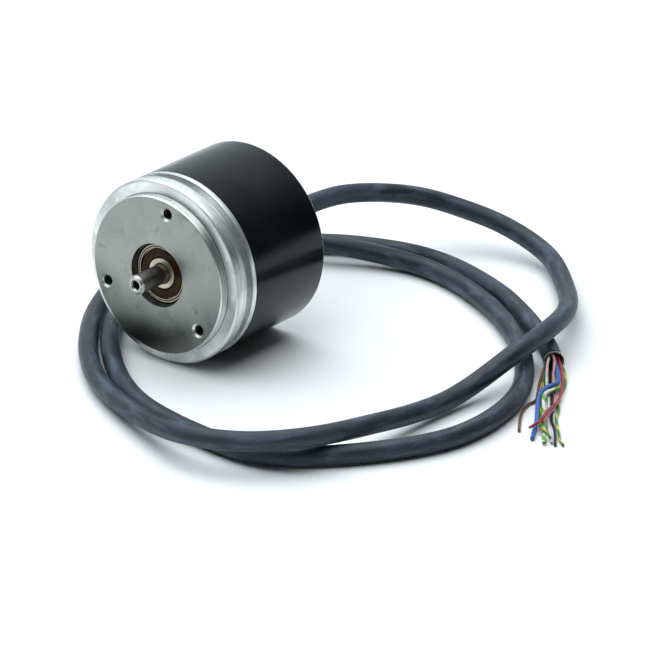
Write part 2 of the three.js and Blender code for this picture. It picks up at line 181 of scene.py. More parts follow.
# Free cable, in metres: out of the cap, down to the surface in a wide turn, round the front, behind
# the housing and once more round, to the stripped end.
CABLE_ROUTE = [
    (0, 0.0235, 0.029), (0, 0.048, 0.029), (0.0005, 0.073, 0.0269), (0.007, 0.101, 0.019),
    (0.016, 0.112, 0.0138), (0.03, 0.117, 0.0096), (0.0483, 0.1143, 0.0056),
    (0.0673, 0.0983, 0.0047), (0.0823, 0.0787, 0.0078), (0.0907, 0.058, 0.0106),
    (0.0925, 0.04, 0.0099), (0.0895, 0.01, 0.0039), (0.0869, -0.0288, 0.0081),
    (0.0818, -0.049, 0.0104), (0.0702, -0.0605, 0.0101), (0.0545, -0.066, 0.0094),
    (0.0335, -0.0606, 0.0062), (0, -0.0442, 0.0037), (-0.0236, -0.0218, 0.0035),
    (-0.0396, 0.0032, 0.0034), (-0.046, 0.03, 0.0068), (-0.0375, 0.055, 0.0101),
    (-0.0134, 0.074, 0.007), (0.0198, 0.0862, 0.0034), (0.054, 0.0756, 0.0033),
    (0.086, 0.051, 0.0033), (0.1035, 0.024, 0.0033), (0.106, -0.008, 0.0033),
    (0.0903, -0.0363, 0.0033), (0.0695, -0.0533, 0.0033), (0.0452, -0.0537, 0.0033),
    (0.017, -0.0464, 0.0033), (-0.0095, -0.0272, 0.0033), (-0.0306, 0.0012, 0.0033),
    (-0.036, 0.046, 0.0033), (-0.022, 0.0769, 0.0033), (0.0135, 0.093, 0.0033),
    (0.0502, 0.0853, 0.0034), (0.0863, 0.0622, 0.0036), (0.0956, 0.0535, 0.0037),
]
BUNDLE_HEADING = math.radians(-51.5)

# Cores past the stripped end: name, radius, and points of (across the bundle, along it, height), in
# millimetres.
CORES = [
    ("core_brown", THIN_CORE, [
        (-1.55, 0.7, 4.05), (-2.87, 5.6, 2.6), (-4.28, 11.2, 0.8), (-5.13, 18.6, 0.6),
        (-5.97, 23.7, 0.6), (-8.1, 26.5, 0.6), (-9.8, 30.7, 0.6), (-10.89, 36.8, 0.6),
        (-11.48, 45.2, 0.6),
    ]),
    ("core_green", THIN_CORE, [
        (-1.5, 0.7, 3), (-2.17, 5.6, 1.5), (-3.23, 12.1, 0.6), (-4.08, 18.6, 0.55),
        (-4.52, 27.9, 0.5), (-4.96, 37.2, 0.5), (-5.18, 40.9, 0.7), (-5.36, 43.7, 1.4),
        (-5.14, 46.5, 2), (-4.33, 48.4, 2.15), (-3.32, 50.2, 1.9), (-2.72, 52.4, 1.7),
    ]),
    ("core_white", THIN_CORE, [
        (-1.1, 0.7, 5), (-1.78, 4.7, 4), (-2.2, 9.3, 2), (-2.21, 14.9, 0.7), (-1.97, 20.5, 0.6),
        (-2.31, 29.8, 0.6), (-2.78, 40.9, 0.6), (-2.39, 47.4, 0.6), (-2.28, 53.7, 0.6),
    ]),
    ("core_black", THIN_CORE, [
        (-0.75, 0.7, 2.15), (-0.96, 6.5, 0.9), (-1.17, 13, 0.6), (-1, 20.5, 0.6),
        (-1.26, 29.8, 0.6), (-1.65, 38.1, 0.6), (-1.19, 43.2, 0.6), (-1.08, 48.4, 0.6),
        (-1.31, 55.3, 0.6),
    ]),
    ("core_pink", THIN_CORE, [
        (-0.1, 0.7, 5.4), (0.34, 4.2, 5.1), (0.14, 7.4, 4.3), (-0.26, 10.7, 2.5),
        (-0.12, 14.4, 0.9), (0.02, 19.5, 0.55), (-0.13, 26, 0.7), (-0.36, 28.8, 1.15),
        (-0.94, 31.4, 1.52), (-1.75, 33.9, 1.85), (-2.71, 37.2, 2.1), (-3.66, 40.5, 2.42),
        (-4.5, 43.5, 2.5),
    ]),
    ("core_blue", THICK_CORE, [
        (0.3, 0.7, 3.95), (0.98, 5.6, 3.3), (1.06, 10.2, 2.85), (1.06, 14.4, 2.75),
        (-0.05, 16.7, 2.75), (-2.33, 18.6, 2.65), (-4.28, 21.8, 2.4), (-5.14, 25.1, 2),
        (-5.51, 28.8, 1.5), (-5.83, 34.4, 1.2), (-6.29, 40, 1.2), (-6.96, 44.6, 1),
        (-7.86, 51.2, 0.8),
    ]),
    ("core_white_green", THICK_CORE, [
        (0.5, 0.7, 2.5), (1.02, 4.7, 1.3), (1.16, 10.2, 0.9), (1.14, 14.9, 1.1),
        (0.82, 17.5, 1.68), (-0.37, 19.3, 2), (-2.03, 20.7, 2.05), (-3.36, 23.4, 2),
        (-3.68, 27, 1.5), (-3.7, 31.6, 1.2), (-3.99, 39.1, 1.2), (-4.11, 43.7, 1.1),
        (-4.51, 54.3, 0.8),
    ]),
    ("core_red", THIN_CORE, [
        (1.6, 0.7, 4.3), (2.18, 5.6, 3.4), (2.37, 11.2, 2.6), (2.3, 15.8, 1.9), (1.68, 20.5, 1.5),
        (0.86, 25.1, 1.65), (-0.11, 29.8, 2.35), (-2.32, 35.3, 3.15), (-4.31, 41.5, 3.5),
        (-5.46, 44.6, 3.45), (-6.92, 45.9, 3), (-8.54, 46.5, 2.2),
    ]),
    ("core_yellow_green", THIN_CORE, [
        (1.65, 0.7, 3.2), (3.02, 4.7, 2.3), (3.5, 9.3, 1), (2.99, 14, 0.6), (1.5, 20, 0.55),
        (0.91, 25.1, 0.55), (0.6, 30.7, 0.6), (-0.26, 36.3, 0.6), (-0.28, 40.9, 0.6),
        (0.06, 46.5, 0.6), (0.14, 51.2, 0.6), (1.04, 55.3, 0.6),
    ]),
]
# Turns of a core's stripe on each metre
STRIPE_TURNS = 110
# Colour of each core's insulation, and of its stripe if it has one
CORE_COLOURS = {
    "core_brown": ((0.19, 0.075, 0.03), None),
    "core_green": ((0.05, 0.21, 0.035), (0.42, 0.33, 0.02)),
    "core_white": ((0.72, 0.72, 0.68), None),
    "core_black": ((0.008, 0.008, 0.01), None),
    "core_pink": ((0.62, 0.27, 0.28), None),
    "core_blue": ((0.05, 0.15, 0.48), None),
    "core_white_green": ((0.72, 0.72, 0.66), (0.12, 0.42, 0.04)),
    "core_red": ((0.40, 0.02, 0.045), None),
    "core_yellow_green": ((0.06, 0.26, 0.04), (0.55, 0.52, 0.08)),
}

# Tones of metal and plastic, each a dark and a light colour
BRASS_TONES = ((0.50, 0.36, 0.14), (0.66, 0.50, 0.22))
BALL_TONES = ((0.60, 0.60, 0.60), (0.80, 0.80, 0.80))
BLACK_PLASTIC_TONES = ((0.012, 0.012, 0.013), (0.03, 0.03, 0.032))
CREAM_PLASTIC_TONES = ((0.55, 0.50, 0.36), (0.68, 0.63, 0.48))


def place_camera():
    """Puts the camera at its angle and distance from the target, moved aside to frame the object."""
    azimuth, elevation = CAMERA_AZIMUTH, CAMERA_ELEVATION
    back = Vector((
        math.sin(azimuth) * math.cos(elevation),
        -math.cos(azimuth) * math.cos(elevation),
        math.sin(elevation),
    ))
    right = Vector((math.cos(azimuth), math.sin(azimuth), 0))
    up = back.cross(right)
    data = bpy.data.cameras.new("camera")
    data.lens = CAMERA_LENS
    data.sensor_width = 36
    data.clip_start = 0.05
    data.clip_end = 50
    camera = bpy.data.objects.new("camera", data)
    bpy.context.collection.objects.link(camera)
    turn = Matrix((right, up, back)).transposed().to_4x4()
    spot = CAMERA_TARGET + back * CAMERA_DISTANCE + right * CAMERA_SIDE + up * CAMERA_RISE
    camera.matrix_world = Matrix.Translation(spot) @ turn
    bpy.context.scene.camera = camera


# ---- materials ----------------------------------------------------------------------------------


def shader(name, base, roughness, metallic=0.0):
    """New material with one Principled shader, and that shader."""
    material = bpy.data.materials.new(name)
    material.use_nodes = True
    node = material.node_tree.nodes["Principled BSDF"]
    node.inputs["Base Color"].default_value = (*base, 1)
    node.inputs["Roughness"].default_value = roughness
    node.inputs["Metallic"].default_value = metallic
    return material, node


def spot_on(material, scale=(1, 1, 1), source="Object"):
    """Position on the piece, stretched by scale."""
    tree = material.node_tree
    where = tree.nodes.new("ShaderNodeTexCoord")
    stretch = tree.nodes.new("ShaderNodeMapping")
    stretch.inputs["Scale"].default_value = scale
    tree.links.new(where.outputs[source], stretch.inputs["Vector"])
    return stretch.outputs["Vector"]


def grain(material, scale, detail=3.0, stretch=(1, 1, 1), source="Object", distortion=0.0):
    """Noise of about 0 to 1 over the piece. The grain is finer where scale times stretch is larger."""
    node = material.node_tree.nodes.new("ShaderNodeTexNoise")
    node.inputs["Scale"].default_value = scale
    node.inputs["Detail"].default_value = detail
    node.inputs["Distortion"].default_value = distortion
    material.node_tree.links.new(spot_on(material, stretch, source), node.inputs["Vector"])
    return node.outputs["Fac"]


def levels(material, value, low, high, start=0.0, end=1.0):
    """Maps low..high of a value to start..end, smoothly, and holds it outside."""
    node = material.node_tree.nodes.new("ShaderNodeMapRange")
    node.interpolation_type = "SMOOTHSTEP"
    node.inputs["From Min"].default_value = low
    node.inputs["From Max"].default_value = high
    node.inputs["To Min"].default_value = start
    node.inputs["To Max"].default_value = end
    material.node_tree.links.new(value, node.inputs["Value"])
    return node.outputs["Result"]


def blend(material, factor, first, second):
    """Colour between two colours, each a tuple or another node's output."""
    tree = material.node_tree
    node = tree.nodes.new("ShaderNodeMix")
    node.data_type = "RGBA"
    tree.links.new(factor, node.inputs["Factor"])
    for socket, colour in ((node.inputs[6], first), (node.inputs[7], second)):
        if isinstance(colour, tuple):
            socket.default_value = (*colour, 1)
        else:
            tree.links.new(colour, socket)
    return node.outputs[2]


def tones(material, value, dark, light, low=0.3, high=0.7):
    """Colour that goes from dark to light as a noise goes from low to high."""
    return blend(material, levels(material, value, low, high), dark, light)


def maths(material, operation, first, second):
    """Result of a calculation on two values, each a number or another node's output."""
    tree = material.node_tree
    node = tree.nodes.new("ShaderNodeMath")
    node.operation = operation
    for socket, value in ((node.inputs[0], first), (node.inputs[1], second)):
        if isinstance(value, (int, float)):
            socket.default_value = value
        else:
            tree.links.new(value, socket)
    return node.outputs[0]


def raise_surface(material, node, height, strength, distance):
    """Adds a bump to the shader, on top of any bump that it has."""
    tree = material.node_tree
    bump = tree.nodes.new("ShaderNodeBump")
    bump.inputs["Strength"].default_value = strength
    bump.inputs["Distance"].default_value = distance
    tree.links.new(height, bump.inputs["Height"])
    if node.inputs["Normal"].is_linked:
        tree.links.new(node.inputs["Normal"].links[0].from_socket, bump.inputs["Normal"])
    tree.links.new(bump.outputs["Normal"], node.inputs["Normal"])


def feed(material, node, socket, value):
    """Links another node's output into one of the shader's sockets."""
    material.node_tree.links.new(value, node.inputs[socket])


def vary_roughness(material, node, value, smooth, rough):
    """Roughness that follows a noise's middle values."""
    feed(material, node, "Roughness", levels(material, value, 0.3, 0.7, smooth, rough))


def face_aluminium():
    """Machined face, gone dull and faintly stained, with a painted dark reflection towards the bottom."""
    material, node = shader("face_aluminium", (0.45, 0.48, 0.45), 0.4, 1.0)
    cloud = grain(material, 110, 4)
    fine = grain(material, 2600, 2)
    stain = levels(material, grain(material, 190, 5, distortion=0.6), 0.58, 0.72)
    base = tones(material, cloud, (0.27, 0.295, 0.27), (0.36, 0.385, 0.36))
    base = blend(material, levels(material, fine, 0.35, 0.65, 0, 0.25), base, (0.47, 0.50, 0.47))
    base = blend(material, maths(material, "MULTIPLY", stain, 0.45), base, (0.15, 0.16, 0.14))
    tree = material.node_tree
    # Painted dark reflection: the face is coloured darker low down and towards -X
    place = tree.nodes.new("ShaderNodeSeparateXYZ")
    tree.links.new(spot_on(material), place.inputs["Vector"])
    slant = maths(material, "MULTIPLY", place.outputs["X"], PAINTED_REFLECTION_LEAN)
    lean = maths(material, "ADD", place.outputs["Z"], slant)
    uneven = maths(material, "ADD", lean, maths(material, "MULTIPLY", cloud, PAINTED_REFLECTION_UNEVENNESS))
    painted_reflection = levels(material, uneven, PAINTED_REFLECTION_FULL, PAINTED_REFLECTION_GONE, PAINTED_REFLECTION_COVER, 0.0)
    base = blend(material, painted_reflection, base, PAINTED_REFLECTION_COLOUR)
    feed(material, node, "Base Color", base)
    vary_roughness(material, node, cloud, 0.38, 0.48)
    raise_surface(material, node, fine, 0.12, 0.00003)
    return material


def rim_aluminium():
    """Bright turned rim: fine lines round the axis, small dull patches."""
    material, node = shader("rim_aluminium", (0.75, 0.77, 0.76), 0.28, 1.0)
    lines = grain(material, 1, 3, stretch=(60, 5200, 60))
    patch = grain(material, 90, 3)
    base = tones(material, lines, (0.46, 0.49, 0.475), (0.93, 0.955, 0.94))
    glint = levels(material, grain(material, 1, 2, stretch=(700, 5200, 700)), 0.60, 0.72)
    base = blend(material, levels(material, patch, 0.45, 0.75, 0, 0.45), base, (0.36, 0.37, 0.36))
    base = blend(material, maths(material, "MULTIPLY", glint, 0.5), base, (0.97, 0.98, 0.97))
    feed(material, node, "Base Color", base)
    vary_roughness(material, node, patch, 0.34, 0.44)
    raise_surface(material, node, lines, 0.35, 0.00003)
    return material


def painted_shade_metal():
    """Holes, the bearing's recess and the collar's corner: metal coloured near black as painted shade."""
    material, node = shader("painted_shade_metal", (0.03, 0.032, 0.028), 0.45, 0.6)
    cloud = grain(material, 600, 3)
    base = tones(material, cloud, (0.026, 0.028, 0.020), (0.10, 0.105, 0.078))
    feed(material, node, "Base Color", base)
    vary_roughness(material, node, cloud, 0.35, 0.55)
    return material


def black_cap():
    """Satin black coating with a very fine grain, dust and a few rubbed marks."""
    material, node = shader("black_cap", (0.012, 0.013, 0.014), 0.36)
    node.inputs["Specular IOR Level"].default_value = 0.24
    pebble = grain(material, 5200, 2)
    cloud = grain(material, 60, 3)
    mark = levels(material, grain(material, 1, 4, stretch=(900, 70, 900), distortion=0.8), 0.70, 0.82)
    dust = levels(material, grain(material, 1700, 1), 0.74, 0.84)
    base = tones(material, cloud, (0.002, 0.003, 0.0036), (0.005, 0.0066, 0.0078))
    base = blend(material, maths(material, "MULTIPLY", mark, 0.22), base, (0.07, 0.08, 0.085))
    base = blend(material, maths(material, "MULTIPLY", dust, 0.25), base, (0.22, 0.22, 0.21))
    feed(material, node, "Base Color", base)
    vary_roughness(material, node, cloud, 0.17, 0.23)
    raise_surface(material, node, pebble, 0.10, 0.00003)
    return material


def worn_edge():
    """Edge of the cap where the coating is rubbed through to bright metal in places."""
    material, node = shader("worn_edge", (0.3, 0.3, 0.3), 0.35)
    wear = levels(material, grain(material, 420, 4), 0.40, 0.56)
    feed(material, node, "Base Color", blend(material, wear, (0.03, 0.032, 0.034), (0.62, 0.64, 0.65)))
    feed(material, node, "Metallic", wear)
    feed(material, node, "Roughness", levels(material, wear, 0, 1, 0.4, 0.28))
    return material


def steel(name="steel", dark=(0.22, 0.205, 0.185), light=(0.40, 0.38, 0.35), rough=0.28):
    """Ground metal, steel unless toned otherwise, with fine lines round the axis."""
    material, node = shader(name, light, rough, 1.0)
    lines = grain(material, 1, 2, stretch=(40, 9000, 40))
    cloud = grain(material, 420, 3)
    base = tones(material, lines, dark, light, 0.2, 0.8)
    feed(material, node, "Base Color", base)
    vary_roughness(material, node, cloud, rough, rough + 0.12)
    raise_surface(material, node, lines, 0.1, 0.00001)
    return material


def brown_seal():
    """Dark brown rubber of the bearings' seals, faintly cloudy."""
    material, node = shader("brown_seal", (0.035, 0.014, 0.006), 0.3)
    node.inputs["Specular IOR Level"].default_value = 0.1
    cloud = grain(material, 260, 3)
    base = tones(material, cloud, (0.026, 0.006, 0.000), (0.056, 0.026, 0.002))
    feed(material, node, "Base Color", base)
    vary_roughness(material, node, cloud, 0.26, 0.38)
    raise_surface(material, node, grain(material, 4000, 2), 0.1, 0.00002)
    return material


def black_rubber():
    """Matte rubber with a fine grain."""
    material, node = shader("black_rubber", (0.016, 0.017, 0.019), 0.6)
    cloud = grain(material, 300, 4)
    base = tones(material, cloud, (0.012, 0.013, 0.015), (0.034, 0.037, 0.041), 0.35, 0.7)
    feed(material, node, "Base Color", base)
    vary_roughness(material, node, cloud, 0.48, 0.68)
    raise_surface(material, node, grain(material, 3600, 3), 0.25, 0.00005)
    return material


def moulded(name, dark, light, rough=0.5):
    """Moulded plastic with a fine grain."""
    material, node = shader(name, light, rough)
    cloud = grain(material, 350, 3)
    feed(material, node, "Base Color", tones(material, cloud, dark, light))
    vary_roughness(material, node, cloud, rough - 0.08, rough + 0.08)
    raise_surface(material, node, grain(material, 5000, 2), 0.2, 0.00003)
    return material


def optical_glass():
    """Clear, slightly green glass with faint smears."""
    material, node = shader("optical_glass", (0.85, 0.93, 0.92), 0.06)
    node.inputs["Transmission Weight"].default_value = 0.85
    node.inputs["IOR"].default_value = 1.5
    smear = grain(material, 300, 3)
    tint = tones(material, smear, (0.80, 0.90, 0.89), (0.92, 0.96, 0.95))
    feed(material, node, "Base Color", tint)
    feed(material, node, "Roughness", levels(material, smear, 0.3, 0.8, 0.04, 0.14))
    return material


def circuit_board_green():
    """Green solder mask with tracks faintly raised under it."""
    material, node = shader("circuit_board_green", (0.01, 0.10, 0.045), 0.42)
    tracks = grain(material, 1, 2, stretch=(700, 700, 90))
    edge = levels(material, tracks, 0.49, 0.52)
    feed(material, node, "Base Color", blend(material, edge, (0.008, 0.075, 0.032), (0.016, 0.15, 0.066)))
    vary_roughness(material, node, tracks, 0.34, 0.48)
    raise_surface(material, node, edge, 0.3, 0.00003)
    return material


def cable_jacket():
    """Worn rubber jacket: chalky where it has been handled, scuffed along its length."""
    material, node = shader("cable_jacket", (0.05, 0.06, 0.08), 0.5)
    node.inputs["Specular IOR Level"].default_value = 0.35
    cloud = grain(material, 24, 5)
    scuff = grain(material, 1, 5, stretch=(90, 7, 1), source="UV", distortion=0.3)
    speck = levels(material, grain(material, 1500, 2), 0.66, 0.78)
    chalk = levels(material, scuff, 0.46, 0.68)
    base = tones(material, cloud, (0.009, 0.014, 0.022), (0.034, 0.048, 0.071))
    base = blend(material, maths(material, "MULTIPLY", chalk, 0.55), base, (0.085, 0.125, 0.185))
    base = blend(material, maths(material, "MULTIPLY", speck, 0.25), base, (0.30, 0.35, 0.41))
    feed(material, node, "Base Color", base)
    vary_roughness(material, node, cloud, 0.40, 0.58)
    raise_surface(material, node, grain(material, 2800, 3), 0.25, 0.00006)
    raise_surface(material, node, scuff, 0.20, 0.00012)
    return material


def core_insulation(name, colour, stripe):
    """Smooth plastic insulation; a stripe, if any, winds round it in a slow helix."""
    material, node = shader(name, colour, 0.34)
    node.inputs["Specular IOR Level"].default_value = 0.3
    cloud = grain(material, 700, 3)
    worn = tuple(0.72 * part for part in colour)
    base = tones(material, cloud, colour, worn, 0.35, 0.75)
    if stripe:
        tree = material.node_tree
        split = tree.nodes.new("ShaderNodeSeparateXYZ")
        tree.links.new(spot_on(material, source="UV"), split.inputs["Vector"])
        turns = maths(material, "MULTIPLY", split.outputs["X"], STRIPE_TURNS)
        place = maths(material, "ADD", turns, split.outputs["Y"])
        wave = maths(material, "SINE", maths(material, "MULTIPLY", place, 2 * math.pi), 0)
        base = blend(material, levels(material, wave, 0.35, 0.55), base, stripe)
    feed(material, node, "Base Color", base)
    vary_roughness(material, node, cloud, 0.28, 0.42)
    raise_surface(material, node, cloud, 0.15, 0.00003)
    return material


def copper():
    """Cut end of a core's strands: dull copper with dark gaps."""
    material, node = shader("copper", (0.55, 0.30, 0.20), 0.4, 1.0)
    strands = grain(material, 6000, 1)
    base = tones(material, strands, (0.05, 0.025, 0.015), (0.34, 0.18, 0.11), 0.4, 0.6)
    feed(material, node, "Base Color", base)
    raise_surface(material, node, strands, 0.6, 0.0001)
    return material


def pale_floor():
    """Plain pale paper, very slightly cloudy."""
    material, node = shader("pale_floor", (0.90, 0.91, 0.92), 0.7)
    cloud = grain(material, 3, 2)
    base = tones(material, cloud, (0.89, 0.90, 0.91), (0.92, 0.93, 0.94))
    feed(material, node, "Base Color", base)
    return material


# ---- shapes -------------------------------------------------------------------------------------


def add_piece(name, bm, materials, body, nodes, sharp_angle=SHARP_ANGLE):
    """Makes an object from a bmesh, ties it to its body and hides the CAD nodes that it stands in for."""
    bmesh.ops.recalc_face_normals(bm, faces=bm.faces)
    mesh = bpy.data.meshes.new(name)
    bm.to_mesh(mesh)
    bm.free()
    for polygon in mesh.polygons:
        polygon.use_smooth = True
    mesh.set_sharp_from_angle(angle=math.radians(sharp_angle))
    for material in materials:
        mesh.materials.append(material)
    piece = bpy.data.objects.new(name, mesh)
    bpy.context.collection.objects.link(piece)
    if nodes:
        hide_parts(*nodes)
    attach(piece, body)
    return piece


def on_axis(radius, position, angle):
    """Place in the scene of a turned piece's point; the angle is counted from +X towards +Z."""
    return Vector((
        radius * math.cos(angle) * MM,
        (position + ROW_SHIFT) * MM,
        (radius * math.sin(angle) + AXIS_HEIGHT) * MM,
    ))


def add_turned(bm, outline, sides, centre=(0, 0), finish=None):
    """Adds a turned solid. The outline starts and ends on its axis or is closed to its first point.

    centre is the turning axis's own place in millimetres, across and up from the shaft axis, and
    finish gives a face's material index from the radius and position of the middle of its edge.
    """
    shift = Vector((centre[0] * MM, 0, centre[1] * MM))
    rows = []
    for radius, position in outline:
        if radius < TINY:
            rows.append([bm.verts.new(on_axis(0, position, 0) + shift)] * sides)
            continue
        rows.append([
            bm.verts.new(on_axis(radius, position, 2 * math.pi * side / sides) + shift)
            for side in range(sides)
        ])
    last = len(rows) if outline[0][0] > TINY else len(rows) - 1
    for step in range(last):
        first, second = rows[step], rows[(step + 1) % len(rows)]
        (radius_a, place_a), (radius_b, place_b) = outline[step], outline[(step + 1) % len(rows)]
        index = finish((radius_a + radius_b) / 2, (place_a + place_b) / 2) if finish else 0
        for side in range(sides):
            corners = [first[side], first[(side + 1) % sides],
                       second[(side + 1) % sides], second[side]]
            unique = list(dict.fromkeys(corners))
            if len(unique) > 2:
                bm.faces.new(unique).material_index = index


def rounded(outline, radius, steps=3, closed=True):
    """Outline with each corner replaced by a small arc, as a cutter or a mould leaves it."""
    result = []
    count = len(outline)
    for index, point in enumerate(outline):
        here = Vector(point)
        if not closed and index in (0, count - 1) or point[0] < TINY:
            result.append(tuple(here))
            continue
        before = Vector(outline[index - 1]) - here
        after = Vector(outline[(index + 1) % count]) - here
        if before.length < TINY or after.length < TINY:
            continue
        size = min(radius, before.length * 0.45, after.length * 0.45)
        start = here + before.normalized() * size
        end = here + after.normalized() * size
        for step in range(steps + 1):
            share = step / steps
            near = start.lerp(here, share)
            far = here.lerp(end, share)
            result.append(tuple(near.lerp(far, share)))
    return result


def turned_piece(name, outline, materials, body, nodes=None, edge=0.12, sides=SMALL_SIDES,
                 finish=None):
    """Turned piece about the shaft axis with its corners rounded off by edge millimetres."""
    bm = bmesh.new()
    add_turned(bm, rounded(outline, edge, closed=outline[0][0] > TINY), sides, finish=finish)
    return add_piece(name, bm, materials, body, [name] if nodes is None else nodes)


def carve(piece, cutters):
    """Subtracts closed bmeshes from a piece, for good."""
    for bm in cutters:
        bmesh.ops.recalc_face_normals(bm, faces=bm.faces)
        mesh = bpy.data.meshes.new("cutter")
        bm.to_mesh(mesh)
        bm.free()
        cutter = bpy.data.objects.new("cutter", mesh)
        bpy.context.collection.objects.link(cutter)
        modifier = piece.modifiers.new("cut", "BOOLEAN")
        modifier.operation = "DIFFERENCE"
        modifier.solver = "EXACT"
        modifier.object = cutter
        result = bpy.data.meshes.new_from_object(
            piece.evaluated_get(bpy.context.evaluated_depsgraph_get())
        )
        piece.modifiers.clear()
        piece.data = result
        bpy.data.objects.remove(cutter)
    piece.data.set_sharp_from_angle(angle=math.radians(SHARP_ANGLE))


def smooth_path(points, spacing):
    """Points along a centripetal Catmull-Rom curve, the CAD's own, about spacing apart."""
    points = [Vector(point) for point in points]
    points = [2 * points[0] - points[1], *points, 2 * points[-1] - points[-2]]
    path = []
    for index in range(1, len(points) - 2):
        a, b, c, d = points[index - 1:index + 3]
        before = (b - a).length ** 0.5
        here = (c - b).length ** 0.5
        after = (d - c).length ** 0.5
        start = ((b - a) / before - (c - a) / (before + here) + (c - b) / here) * here
        end = ((c - b) / here - (d - b) / (here + after) + (d - c) / after) * here
        steps = max(2, round((c - b).length / spacing))
        for step in range(steps):
            t = step / steps
            path.append(
                b * (2 * t ** 3 - 3 * t ** 2 + 1) + start * (t ** 3 - 2 * t ** 2 + t)
                + c * (3 * t ** 2 - 2 * t ** 3) + end * (t ** 3 - t ** 2)
            )
    path.append(points[-2])
    return path


def add_tube(bm, path, radius_at, sides, end_rings=()):
    """Sweeps a round section along a path, with a UV of (metres along it, turns round it).

    radius_at gives the radius from the distance and the angle. end_rings continue the far end as
    (radius, distance past the end, material index), and the near end is closed flat.
    """
    uv = bm.loops.layers.uv.get("route") or bm.loops.layers.uv.new("route")
    distances = [0.0]
    for before, after in zip(path, path[1:]):
        distances.append(distances[-1] + (after - before).length)
    tangents = []
    for index in range(len(path)):
        ahead = path[min(index + 1, len(path) - 1)] - path[max(index - 1, 0)]
        tangents.append(ahead.normalized())
    side_way = tangents[0].orthogonal().normalized()
    rings = []
    for place, tangent, distance in zip(path, tangents, distances):
        side_way = (side_way - tangent * side_way.dot(tangent)).normalized()
        other_way = tangent.cross(side_way)
        rings.append((place, side_way, other_way, distance, None, 0))
    end, tangent, length = path[-1], tangents[-1], distances[-1]
    for radius, past, index in end_rings:
        rings.append((end + tangent * past, side_way, other_way, length + past, radius, index))
    previous = None
    for place, across, over, distance, fixed, index in rings:
        ring = []
        for side in range(sides):
            angle = 2 * math.pi * side / sides
            radius = radius_at(distance, angle) if fixed is None else fixed
            ring.append(bm.verts.new(place + (across * math.cos(angle) + over * math.sin(angle)) * radius))
        if previous:
            for side in range(sides):
                after = (side + 1) % sides
                face = bm.faces.new((previous[0][side], previous[0][after], ring[after], ring[side]))
                face.material_index = index
                turns = (side / sides, (side + 1) / sides, (side + 1) / sides, side / sides)
                along = (previous[1], previous[1], distance, distance)
                for loop, u, v in zip(face.loops, along, turns):
                    loop[uv].uv = (u, v)
        else:
            bm.faces.new(ring)
        previous = (ring, distance)
    closing = bm.faces.new(previous[0])
    closing.material_index = rings[-1][5]


# ---- cable --------------------------------------------------------------------------------------


def jacket_radius(distance, angle):
    """Nominal radius with the faint lay of the cores under it and small unevenness."""
    lay = LAY_DEPTH * math.sin(LAY_STRANDS * angle + distance * 2 * math.pi / (LAY_PITCH * MM))
    place = Vector((distance * 90, math.cos(angle), math.sin(angle)))
    return CABLE_RADIUS * MM * (1 + lay + UNEVENNESS * noise.noise(place))


def make_cable():
    """Jacket with a hollow mouth. Returns it, the place of its stripped end and the heading there."""
    path = smooth_path(CABLE_ROUTE, CABLE_STEP * MM)
    bm = bmesh.new()
    add_tube(bm, path, jacket_radius, CABLE_SIDES, [
        (0.00296, 0.0, 0), (0.00285, 0.0001, 0), (0.00232, 0.00005, 0), (0.00228, -0.0001, 0),
        (0.00225, -0.0045, 0),
    ])
    cable = add_piece("cable_jacket", bm, [cable_jacket()], "housing", ["cable"])
    end = path[-1]
    heading = (end - path[-2]).normalized()
    return cable, end, heading


def make_shield(end, heading):
    """Braided shield fanned out past the jacket's end: a woven sleeve and its loose wires."""
    length = SHIELD_LENGTH * MM
    root = SHIELD_ROOT * MM
    steps_past_end = 8
    steps = round(steps_past_end * (length + root) / length)
    bm = bmesh.new()
    path = [end + heading * (length * step / steps_past_end - root) for step in range(steps + 1)]

    def flare(past):
        return SHIELD_RADIUS * MM + SHIELD_FLARE * max(0.0, past)

    def braid(distance, angle):
        weave = math.sin(16 * angle + distance * 5200) * math.sin(16 * angle - distance * 5200)
        return flare(distance - root) + 0.00006 * weave

    rim = flare(length)
    add_tube(bm, path, braid, SHIELD_SIDES, [
        (rim - 0.0001, 0.00005, 0), (rim - 0.00025, 0.0, 0), (rim - 0.0006, -0.0007, 0),
        (0.00205, -length, 1), (0.0019, -0.005, 1),
    ])
    across = heading.orthogonal().normalized()
    over = heading.cross(across)
    wire_steps = 6
    for turning, offset in ((-1, 0.00008), (1, -0.00036)):
        for number in range(SHIELD_WIRES):
            start = 2 * math.pi * (number + 0.25 * turning) / SHIELD_WIRES
            reach = length * (1.1 + 0.35 * noise.noise(Vector((number, turning, 0.5))))
            wire = []
            for step in range(wire_steps + 1):
                past = reach * step / wire_steps
                angle = start + turning * 0.55 * step / wire_steps
                out = across * math.cos(angle) + over * math.sin(angle)
                wire.append(end + heading * past + out * (flare(past) + offset))
            add_tube(bm, wire, lambda distance, angle: SHIELD_WIRE_RADIUS * MM, 6)
    return add_piece("cable_shield_braid", bm, [braid_metal(), shield_inside()], "housing",
                     ["cable_shield"], sharp_angle=60)


def braid_metal():
    """Tinned wire of the shield, dark between the strands."""
    material, node = shader("braid_metal", (0.62, 0.61, 0.57), 0.35, 1.0)
    strands = grain(material, 3800, 2)
    base = tones(material, strands, (0.30, 0.29, 0.25), (0.92, 0.91, 0.86), 0.35, 0.65)
    feed(material, node, "Base Color", base)
    raise_surface(material, node, strands, 0.5, 0.0001)
    return material


def shield_inside():
    """Inside of the braid, where the wrapping tape under it shows through, yellowish brown."""
    material, node = shader("shield_inside", (0.25, 0.18, 0.06), 0.5, 0.2)
    cloud = grain(material, 900, 3)
    base = tones(material, cloud, (0.10, 0.055, 0.015), (0.42, 0.36, 0.16), 0.35, 0.65)
    feed(material, node, "Base Color", base)
    return material


